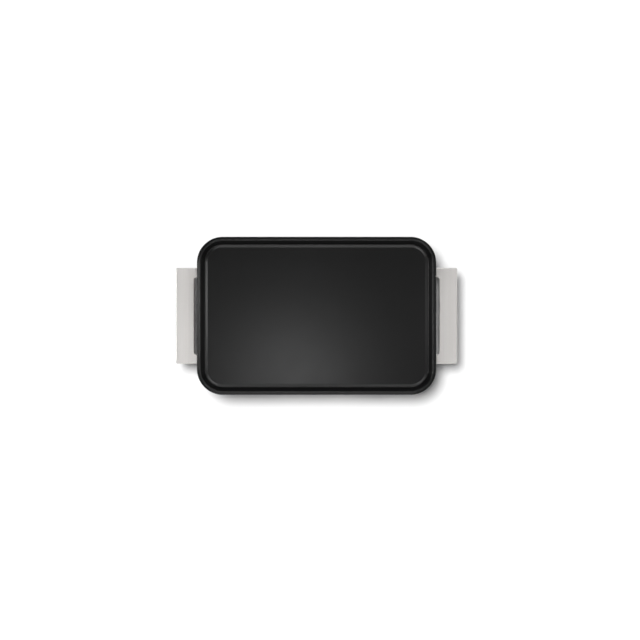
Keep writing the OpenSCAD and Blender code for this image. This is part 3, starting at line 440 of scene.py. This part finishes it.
# ---------- griddle plate ----------

# Angles are in degrees from the horizontal, apart from the wall's lean
PLATE_CORNER = 43 * MM
CORNER_STEPS = 28
RIM_UNDER = 15 * MM
GROOVE_DROP = 1.5 * MM
PLATE_FLOOR = 5 * MM
RIM_WALL = 3 * MM
RIM_LEAN = 8
RIM_EDGE_R = 0.8 * MM
CREST_IN, CREST_R = 4.9 * MM, 2.4 * MM
OUTER_SLOPE, INNER_SLOPE = 32, 54
GROOVE_R = 1.5 * MM
SHOULDER_R, SHOULDER_ANGLE = 5 * MM, 22
HEM_R, HEM_NICK = 1.2 * MM, 0.4 * MM
SKIRT_H = RIM_UNDER - 2 * MM
HOLLOW_H, HOLLOW_R = 9.4 * MM, 1.2 * MM
RING_IN, RING_OUT, RING_R = -27.3 * MM, -23.8 * MM, 0.8 * MM
RING_FILLET, FOOT_R = 1 * MM, 0.5 * MM
FLOOR_START_UNDER, FLOOR_START_TOP = -30 * MM, -26 * MM


def plate_section(rim_top, cook_z, ring_bottom):
    """Half of the casting's section: hollow underside, outer wall, crest, inner slope, groove, shoulder."""
    rim_under, under_z, groove_z = rim_top - RIM_UNDER, cook_z - PLATE_FLOOR, cook_z - GROOVE_DROP
    slope, lean, turn = (math.radians(a) for a in (INNER_SLOPE, RIM_LEAN, SHOULDER_ANGLE))
    chamfer = math.radians(OUTER_SLOPE)
    chamfer_w = CREST_IN - RIM_EDGE_R - (CREST_R - RIM_EDGE_R) * math.sin(chamfer)
    edge_z = rim_top - CREST_R + (CREST_R - RIM_EDGE_R) * math.cos(chamfer) - chamfer_w * math.tan(chamfer)
    hem_x = -HEM_R - SKIRT_H * math.tan(lean)
    hem_in = hem_x - RIM_WALL + HEM_R
    crest_x = -CREST_IN - CREST_R * math.sin(slope)
    crest_z = rim_top - CREST_R * (1 - math.cos(slope))
    fall = (crest_z - groove_z - GROOVE_R * (1 - math.cos(slope))) / math.tan(slope)
    groove_x = crest_x - fall - GROOVE_R * math.sin(slope)
    straight = GROOVE_DROP - (GROOVE_R + SHOULDER_R) * (1 - math.cos(turn))
    head_x = groove_x - (GROOVE_R + SHOULDER_R) * math.sin(turn) - straight / math.tan(turn)
    hollow_top = rim_under + HOLLOW_H
    foot_x, hollow_in, hollow_out = groove_x - 0.6 * MM, crest_x + 1 * MM, -RIM_WALL - 2.2 * MM
    return [
        (FLOOR_START_UNDER, under_z),
        *arc(RING_IN - RING_FILLET, under_z - RING_FILLET, RING_FILLET, 90, 0, 4),
        *arc(RING_IN + RING_R, ring_bottom + RING_R, RING_R, 180, 270, 4),
        *arc(RING_OUT - RING_R, ring_bottom + RING_R, RING_R, 270, 360, 4),
        *arc(RING_OUT + RING_R, rim_under - RING_R, RING_R, 180, 90, 4),
        *arc(foot_x, rim_under + FOOT_R, FOOT_R, -90, INNER_SLOPE - 90, 2),
        *arc(hollow_in, hollow_top - HOLLOW_R, HOLLOW_R, 90 + INNER_SLOPE, 90, 4),
        *arc(hollow_out, hollow_top - HOLLOW_R, HOLLOW_R, 90, 0, 4),
        (hem_in - HEM_NICK, rim_under + HEM_NICK),
        (hem_in, rim_under),
        *arc(hem_x, rim_under + HEM_R, HEM_R, -90, -RIM_LEAN, 6),
        *arc(-RIM_EDGE_R, edge_z, RIM_EDGE_R, -RIM_LEAN, 90 - OUTER_SLOPE, 8),
        *arc(-CREST_IN, rim_top - CREST_R, CREST_R, 90 - OUTER_SLOPE, 90 + INNER_SLOPE, 16),
        *arc(groove_x, groove_z + GROOVE_R, GROOVE_R, INNER_SLOPE - 90, -90 - SHOULDER_ANGLE, 8),
        *arc(head_x, cook_z - SHOULDER_R, SHOULDER_R, 90 - SHOULDER_ANGLE, 90, 12),
        (FLOOR_START_TOP, cook_z),
    ]


def griddle_plate():
    lo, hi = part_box("griddle_plate")
    width, depth = hi.x - lo.x, hi.y - lo.y
    cook_z = MOUNT["cooking_surface"].z
    under_z = cook_z - PLATE_FLOOR
    section = plate_section(hi.z, cook_z, lo.z)
    rings = rings_round(width, depth, PLATE_CORNER, section, CORNER_STEPS)
    underside = [*plate_ribs(under_z), *plate_bosses(under_z, lo.z)]
    piece("plate_casting", [lofted(rings, True, True), *underside], "griddle_plate")


def block(x0, x1, y0, y1, z0, z1, r):
    """A bar with rounded corners and rounded lower edges, which runs up into what carries it."""
    centre = ((x0 + x1) / 2, (y0 + y1) / 2)
    section = [(0, z1), *reversed(arc(-r, z0 + r, r, -90, 0, 3))]
    return lofted(rings_round(x1 - x0, y1 - y0, r, section, 4, centre), True, True)


# How far a rib runs up into the plate's floor
ROOT = 1 * MM


def plate_ribs(under_z):
    """Two guide ribs beside each of the heater's straight runs."""
    half_l, half_t, height, round_off, beside = 110 * MM, 1.25 * MM, 3 * MM, 0.5 * MM, 6 * MM
    centres = [run * RUN_PITCH + side * beside for run in HEATER_RUNS for side in (-1, 1)]
    bottom, top = under_z - height, under_z + ROOT
    return [block(-half_l, half_l, y - half_t, y + half_t, bottom, top, round_off) for y in centres]


def round_boss(radius, fillet, round_off, under_z, bottom, sides, place):
    """A round boss with a fillet at its root and a rounded edge at its foot."""
    root_r = radius + fillet
    profile = [(root_r, under_z + ROOT / 2), *arc(root_r, under_z - fillet, fillet, 90, 180, 4)]
    profile += [*arc(radius - round_off, bottom + round_off, round_off, 0, -90, 4), (0, bottom)]
    return lathed(profile, sides, Matrix.Translation((*place, 0)))


def plate_bosses(under_z, bottom):
    """The boss that the sensor touches, and the four corner lugs that stand on the silicone pads."""
    _, pad_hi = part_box("plate_pads")
    lug_r = 6 * MM
    bosses = [round_boss(9 * MM, 1 * MM, 0.6 * MM, under_z, bottom, 48, (0, 0))]
    for sx in (-1, 1):
        for sy in (-1, 1):
            place = (sx * (pad_hi.x - lug_r), sy * (pad_hi.y - lug_r))
            bosses.append(round_boss(lug_r, 0.8 * MM, 0.8 * MM, under_z, bottom, 40, place))
    return bosses


# ---------- handles ----------

OPENING_IN, OPENING_OUT = 184 * MM, 205.3 * MM
OPENING_L = 129 * MM
OPENING_CORNER = 4 * MM
SHEET, FOLD_R, HEM_ROUND = 1.2 * MM, 1.4 * MM, 0.3 * MM
COVER_CORNER, LIP_H = 3 * MM, 8 * MM


def handle_cover(side):
    """A pressed steel cover: skirt, flat top and a rolled lip round the finger opening."""
    node = "handle_cover_" + side
    lo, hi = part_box(node)
    centre = ((lo.x + hi.x) / 2, 0)
    width, length, top = hi.x - lo.x, hi.y - lo.y, hi.z
    sign = 1 if side == "right" else -1
    gap_centre = (sign * (OPENING_IN + OPENING_OUT) / 2, 0)
    gap_w = OPENING_OUT - OPENING_IN
    bend_z = top - FOLD_R
    inner_r = FOLD_R - SHEET

    def skirt(section):
        return rings_round(width, length, COVER_CORNER, section, 8, centre)

    def opening(section):
        return rings_round(gap_w, OPENING_L, OPENING_CORNER, section, 8, gap_centre)

    lip_bend = [*reversed(arc(FOLD_R, bend_z, FOLD_R, 180, 90, 7)[1:]), (0, bend_z)]
    inner_bend = reversed(arc(-FOLD_R, bend_z, inner_r, 0, 90, 4))
    rings = [
        *skirt([(-HEM_ROUND, lo.z), (0, lo.z + HEM_ROUND), *arc(-FOLD_R, bend_z, FOLD_R, 0, 90, 7)]),
        *opening([*lip_bend, (0, top - LIP_H)]),
        *opening([(SHEET, top - LIP_H), *arc(FOLD_R, bend_z, inner_r, 180, 90, 4)]),
        *skirt([*inner_bend, (-SHEET, lo.z)]),
    ]
    piece(node + "_steel", [lofted(rings, closed=True)], node)


# ---------- housing, feet and controls ----------


def foot(node):
    """A rubber foot with a rounded sole, a grip groove in it and a well for its screw."""
    lo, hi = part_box(node)
    radius = (hi.x - lo.x) / 2
    centre = Matrix.Translation(((lo.x + hi.x) / 2, (lo.y + hi.y) / 2, 0))
    bore, well, web_z = 1.6 * MM, 6 * MM, 4 * MM
    top_r, sole_r, mouth_r = 0.6 * MM, 1.6 * MM, 0.8 * MM
    side = radius - 1 * MM
    groove = [(9.4 * MM, 0), (9.2 * MM, 0.35 * MM), (8.6 * MM, 0.35 * MM), (8.4 * MM, 0)]
    section = [
        (bore, hi.z), *arc(side - top_r, hi.z - top_r, top_r, 90, 0, 4),
        *arc(radius - sole_r, sole_r, sole_r, 0, -90, 8), *groove,
        *arc(7 * MM, mouth_r, mouth_r, -90, -180, 4),
        (well, 3.4 * MM), (5.6 * MM, 3.9 * MM), (bore, web_z),
    ]
    piece(node + "_rubber", [lathed_ring(section, 72, centre)], node)


def facing_front(x, z, wall_y):
    """A frame on the front wall, with its Z axis pointing out of the wall."""
    turn = Matrix(((1, 0, 0), (0, 0, -1), (0, 1, 0))).to_4x4()
    return Matrix.Translation((x, wall_y, z)) @ turn


KNOB_AXIS = next(Vector(j["pos_m"]) for j in frame["joints"] if j["name"] == "knob_turn")
KNOB_FLUTES, STEPS_PER_FLUTE, FLUTE_DEPTH = 30, 12, 0.75 * MM
KNOB_SKIRT_H, SKIRT_LEDGE, SKIRT_EDGE_R = 3.2 * MM, 0.9 * MM, 0.6 * MM
FACE_EDGE_R = 1.5 * MM


def temperature_knob():
    """A skirted knob with tapered grip flutes and a slightly dished face."""
    lo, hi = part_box("temperature_knob")
    radius = (hi.x - lo.x) / 2
    foot_z, top_z = KNOB_AXIS.y - hi.y, KNOB_AXIS.y - lo.y
    skirt_z = foot_z + KNOB_SKIRT_H
    grip_r = radius - SKIRT_LEDGE
    skirt_in = radius - SKIRT_EDGE_R
    skirt = [
        (0, foot_z + 0.2 * MM), (radius - 3 * MM, foot_z),
        *arc(skirt_in, foot_z + SKIRT_EDGE_R, SKIRT_EDGE_R, -90, 0, 4),
        *arc(skirt_in, skirt_z - SKIRT_EDGE_R, SKIRT_EDGE_R, 0, 90, 4),
    ]
    root = [(grip_r + 0.35 * MM, skirt_z + 0.1 * MM), (grip_r, skirt_z + 0.5 * MM)]
    grip = [(grip_r - 0.5 * MM, foot_z + 8 * MM), (grip_r - 0.9 * MM, top_z - 2.4 * MM)]
    edge = arc(grip_r - 2.4 * MM, top_z - FACE_EDGE_R, FACE_EDGE_R, 0, 90, 6)
    dish = [(grip_r - 4.4 * MM, top_z - 0.12 * MM), (radius / 2, top_z - 0.3 * MM), (0, top_z - 0.4 * MM)]
    first = len(skirt) + 1
    last = first + len(grip) + len(edge) - 2

    def flutes(index, angle):
        """The flutes run from the root's top over the grip onto the edge, and end before the dish."""
        if not first <= index <= last:
            return 0
        return -FLUTE_DEPTH * max(0.0, math.cos(KNOB_FLUTES * angle)) ** 1.5

    section = [*skirt, *root, *grip, *edge, *dish]
    turn = facing_front(KNOB_AXIS.x, KNOB_AXIS.z, KNOB_AXIS.y)
    cap = lathed(section, KNOB_FLUTES * STEPS_PER_FLUTE, turn, flutes)
    piece("temperature_knob_cap", [cap], "temperature_knob")


def indicator_lens():
    """A domed lens with a short shaft behind the fascia."""
    lo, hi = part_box("indicator_lens")
    radius, out, back = (hi.x - lo.x) / 2, KNOB_AXIS.y - lo.y, KNOB_AXIS.y - hi.y
    shaft_r, face, edge, dome_r = 4 * MM, 1 * MM, 0.2 * MM, 6.9 * MM
    shaft_edge = 0.3 * MM
    section = [
        (0, back), (shaft_r - shaft_edge, back), (shaft_r, back + shaft_edge), (shaft_r, face),
        (radius - edge, face), (radius, face + edge), (radius - 0.1 * MM, face + 0.6 * MM),
        *arc(0, out - dome_r, dome_r, 47, 89.5, 16),
    ]
    turn = facing_front((lo.x + hi.x) / 2, (lo.z + hi.z) / 2, KNOB_AXIS.y)
    piece("indicator_lens_dome", [lathed(section, 64, turn)], "indicator_lens")


# ---------- heater and sensor ----------

RUN_PITCH = 41 * MM
HEATER_RUNS = (-1.5, -0.5, 0.5, 1.5)
RUN_HALF = 115 * MM
DROP_X = 135 * MM
DROP_R = 10 * MM
TUBE_R = 3.25 * MM


def heater_element():
    """Four runs along X joined by half turns, with both ends bent down through the tray."""
    lo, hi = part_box("heater_element")
    z = hi.z - TUBE_R
    bend = arc(DROP_X - DROP_R, z - DROP_R, DROP_R, 0, 90, 14)
    far = HEATER_RUNS[-1] * RUN_PITCH

    def half_turn(x, y, start, end):
        return [(px, py, z) for px, py in arc(x, y, RUN_PITCH / 2, start, end, 28)]

    def leg(y):
        """From the cold end up to the bend and onto the run."""
        middle = (lo.z + z - DROP_R) / 2
        return [(DROP_X, y, lo.z), (DROP_X, y, middle), *[(px, y, pz) for px, pz in bend]]

    path = leg(-far)
    path += half_turn(-RUN_HALF, -RUN_PITCH, -90, -270)
    path += half_turn(RUN_HALF, 0, -90, 90)
    path += half_turn(-RUN_HALF, RUN_PITCH, -90, -270)
    path += reversed(leg(far))
    piece("heater_element_tube", [tube(path, TUBE_R, 28)], "heater_element")


STEM_R, HEAD_Z = 2.6 * MM, 51.5 * MM
GUIDE_BODY_R, GUIDE_BORE_R, GUIDE_STEM_R = 8 * MM, 6.1 * MM, 2.9 * MM
GUIDE_FLOOR, GUIDE_FLANGE = 1.5 * MM, 1.2 * MM
TRAY_TOP = 51 * MM
STRAND_R, COILS, STEPS_PER_COIL = 0.45 * MM, 4, 40


def sensor_cup():
    """The cup that touches the plate, with the stem under it."""
    lo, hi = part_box("sensor_cup")
    radius = (hi.x - lo.x) / 2
    collar_r, collar_h, under_r, top_r = 3.5 * MM, 0.8 * MM, 0.5 * MM, 0.7 * MM
    section = [
        (0, lo.z), (collar_r, lo.z), (collar_r + 0.1 * MM, lo.z + collar_h), (STEM_R, lo.z + 0.9 * MM),
        (STEM_R, HEAD_Z), *arc(radius - under_r, HEAD_Z + under_r, under_r, -90, 0, 4),
        *arc(radius - top_r, hi.z - top_r, top_r, 0, 90, 5),
        (radius - 1.6 * MM, hi.z - 0.05 * MM), (radius - 2 * MM, hi.z - 0.2 * MM), (0, hi.z - 0.2 * MM),
    ]
    piece("sensor_cup_turned", [lathed(section, 56)], "sensor_cup")


def sensor_guide():
    """The flanged sleeve in the tray that the cup slides in, with the spring's seat as its floor."""
    lo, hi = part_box("sensor_guide")
    flange_r, flange_top, floor_z = (hi.x - lo.x) / 2, TRAY_TOP + GUIDE_FLANGE, lo.z + GUIDE_FLOOR
    mouth_r, root_r, rim_r = 0.5 * MM, 0.6 * MM, 0.4 * MM
    section = [
        (GUIDE_BORE_R, hi.z - 0.3 * MM), *arc(GUIDE_BORE_R + root_r, hi.z - mouth_r, mouth_r, 180, 90, 3),
        *arc(GUIDE_BODY_R - mouth_r, hi.z - mouth_r, mouth_r, 90, 0, 4),
        *arc(GUIDE_BODY_R + root_r, flange_top + root_r, root_r, 180, 270, 4),
        *arc(flange_r - rim_r, flange_top - rim_r, rim_r, 90, 0, 4), (flange_r, TRAY_TOP),
        (GUIDE_BODY_R, TRAY_TOP), (GUIDE_BODY_R, lo.z), (GUIDE_STEM_R, lo.z),
        (GUIDE_STEM_R, floor_z), (GUIDE_BORE_R, floor_z),
    ]
    piece("sensor_guide_turned", [lathed_ring(section, 56, Matrix.Identity(4))], "sensor_guide")


def sensor_spring():
    """A coil spring whose even coils fill the CAD part's height."""
    lo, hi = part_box("sensor_spring")
    coil_r = (hi.x - lo.x) / 2 - STRAND_R
    rise = hi.z - lo.z - 2 * STRAND_R
    steps = COILS * STEPS_PER_COIL
    path = []
    for i in range(steps + 1):
        angle = 2 * math.pi * i / STEPS_PER_COIL
        height = lo.z + STRAND_R + rise * i / steps
        path.append((coil_r * math.cos(angle), coil_r * math.sin(angle), height))
    spring = piece("sensor_spring_coil", [tube(path, STRAND_R, 12)], "sensor_spring")
    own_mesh(spring)


def smoothed_wire(node):
    """A CAD tube keeps its route and gains a round section."""
    obj = frame["nodes"][node]
    obj.data.materials.clear()
    obj.data.materials.append(MATERIAL[SLOT_OF[node]])
    for face in obj.data.polygons:
        face.use_smooth = True
    weld = obj.modifiers.new("weld", "WELD")
    weld.merge_threshold = WELD_DISTANCE
    rounded = obj.modifiers.new("rounded", "SUBSURF")
    rounded.levels = rounded.render_levels = 1


griddle_plate()
for side in ("left", "right"):
    handle_cover(side)
    refined("handle_grip_" + side, 0.9 * MM, segments=3)
refined("base_housing", 0.35 * MM)
refined("bottom_cover", 0.3 * MM)
refined("fascia", 0.2 * MM, FASCIA_STEEL)
for part in ("front_left", "front_right", "rear_left", "rear_right"):
    foot("foot_" + part)
temperature_knob()
indicator_lens()
heater_element()
sensor_cup()
sensor_guide()
sensor_spring()
# How wide the rounded edges of the other CAD shapes are, in millimetres
EDGE_WIDTHS = {
    "reflector_tray": 0.12, "plate_pads": 0.3, "heater_supports": 0.12, "heater_flanges": 0.2,
    "heater_insulators": 0.2, "heater_pins": 0.1, "sensor_bulb": 0.3, "thermostat_block": 0.4,
    "thermostat_frame": 0.15, "thermostat_bush": 0.15, "thermostat_capsule": 0.15,
    "thermostat_tabs": 0.08, "bush_nut": 0.2,
    "control_spindle": 0.1, "knob_pointer": 0.12, "knob_clip": 0.05, "dial_marks": 0, "indicator_lamp": 0.2,
    "thermal_fuse": 0.15, "fuse_bracket": 0.1, "terminal_block": 0.3, "terminal_screws": 0.08,
    "earth_stud": 0.15, "inlet_socket": 0.3, "inlet_pins": 0.3, "inlet_screws": 0.12, "tab_connectors": 0,
    "handle_bolts": 0.15, "handle_inserts": 0.15, "foot_screws": 0.15, "cover_screws": 0.12,
    "tray_screws": 0.12,
}
for node, width in EDGE_WIDTHS.items():
    refined(node, width * MM)
for node in frame["nodes"]:
    if node.startswith("wire_") or node == "capillary_tube":
        smoothed_wire(node)


# ---------- stage, light and camera ----------

FLOOR_SIZE, FLOOR_DROP = 12, 0.1 * MM
# The camera looks straight down: how much it takes in at the rim's height, and how far off centre it is
VIEW_SPAN = 1.0686
CAMERA_HEIGHT = 3.5
VIEW_SHIFT = (5.7 * MM, -7.0 * MM)
FILM_WIDTH = 36


def stage_floor():
    half = FLOOR_SIZE / 2
    mesh = bpy.data.meshes.new("floor")
    corners = [(-half, -half), (half, -half), (half, half), (-half, half)]
    mesh.from_pydata([(x, y, -FLOOR_DROP) for x, y in corners], [], [(0, 1, 2, 3)])
    floor = bpy.data.objects.new("floor", mesh)
    bpy.context.scene.collection.objects.link(floor)
    paper = Surface("floor_paper", Roughness=0.9, Specular_IOR_Level=0.0)
    paper.set("Base Color", paper.mixed(paper.noise(3, 2), (0.93, 0.93, 0.93), (0.96, 0.96, 0.96)))
    mesh.materials.append(paper.material)


def aimed(name, data, place, target):
    """A lamp at a place, turned to shine at a target."""
    lamp = bpy.data.objects.new(name, data)
    bpy.context.scene.collection.objects.link(lamp)
    lamp.location = place
    lamp.rotation_euler = (Vector(target) - Vector(place)).to_track_quat("-Z", "Y").to_euler()
    return lamp


def area_light(name, place, width, depth, energy, target=(0, 0, 0.07), shape="RECTANGLE"):
    data = bpy.data.lights.new(name, "AREA")
    data.shape, data.size, data.size_y, data.energy = shape, width, depth, energy
    return aimed(name, data, place, target)


FILL = 0.2
KEY_STRENGTH, KEY_ANGLE, KEY_FROM = 3.05, 21, (-0.185, 0.185, 1)
# The lamp whose soft reflection lies on the front half of the cooking surface
GLOW_X, GLOW_Y, GLOW_HEIGHT, GLOW_SIZE = -0.056, -0.134, 1.27, 0.14
# Strips that show only as reflections on the rim and the handles: place, width, depth and watts
REFLECTED_STRIPS = {
    "left_strip": ((-1.05, 0.05, 0.95), 0.15, 0.9, 6.6),
    "rear_strip": ((0, 0.84, 1.0), 1.2, 0.15, 6),
    "front_strip": ((0, -0.84, 1.0), 1.2, 0.12, 4.5),
    "right_strip": ((0.74, 0.02, 1.12), 0.15, 0.8, 1.55),
    "front_low": ((-0.1, -1.2, 0.62), 1.2, 0.2, 1.6),
    "right_low": ((1.25, 0, 0.2), 0.3, 0.5, 0.8),
    "corner_front_left": ((-0.82, -0.75, 1.0), 0.6, 0.15, 4.2),
    "corner_front_right": ((0.82, -0.75, 1.0), 0.6, 0.15, 2.9),
    "corner_rear_right": ((0.82, 0.75, 1.0), 0.6, 0.15, 3.3),
}


def lights():
    world = bpy.data.worlds.new("studio")
    world.use_nodes = True
    world.node_tree.nodes["Background"].inputs["Color"].default_value = (1, 1, 1, 1)
    world.node_tree.nodes["Background"].inputs["Strength"].default_value = FILL
    bpy.context.scene.world = world

    key = bpy.data.lights.new("key", "SUN")
    key.energy, key.angle = KEY_STRENGTH, math.radians(KEY_ANGLE)
    lamp = aimed("key", key, KEY_FROM, (0, 0, 0))
    lamp.visible_glossy = False

    above, below = (GLOW_X, GLOW_Y, GLOW_HEIGHT), (GLOW_X, GLOW_Y, 0)
    area_light("overhead", above, GLOW_SIZE, GLOW_SIZE, 1.0, below, "DISK")
    for name, (place, width, depth, energy) in REFLECTED_STRIPS.items():
        strip = area_light(name, place, width, depth, energy)
        strip.visible_diffuse = False
        strip.visible_camera = False


def camera():
    data = bpy.data.cameras.new("camera")
    data.sensor_width = FILM_WIDTH
    data.lens = FILM_WIDTH * (CAMERA_HEIGHT - cad_hi.z) / VIEW_SPAN
    data.clip_end = 50
    view = bpy.data.objects.new("camera", data)
    bpy.context.scene.collection.objects.link(view)
    view.location = (*VIEW_SHIFT, CAMERA_HEIGHT)
    bpy.context.scene.camera = view


stage_floor()
lights()
camera()
bpy.context.scene.view_settings.view_transform = "Standard"
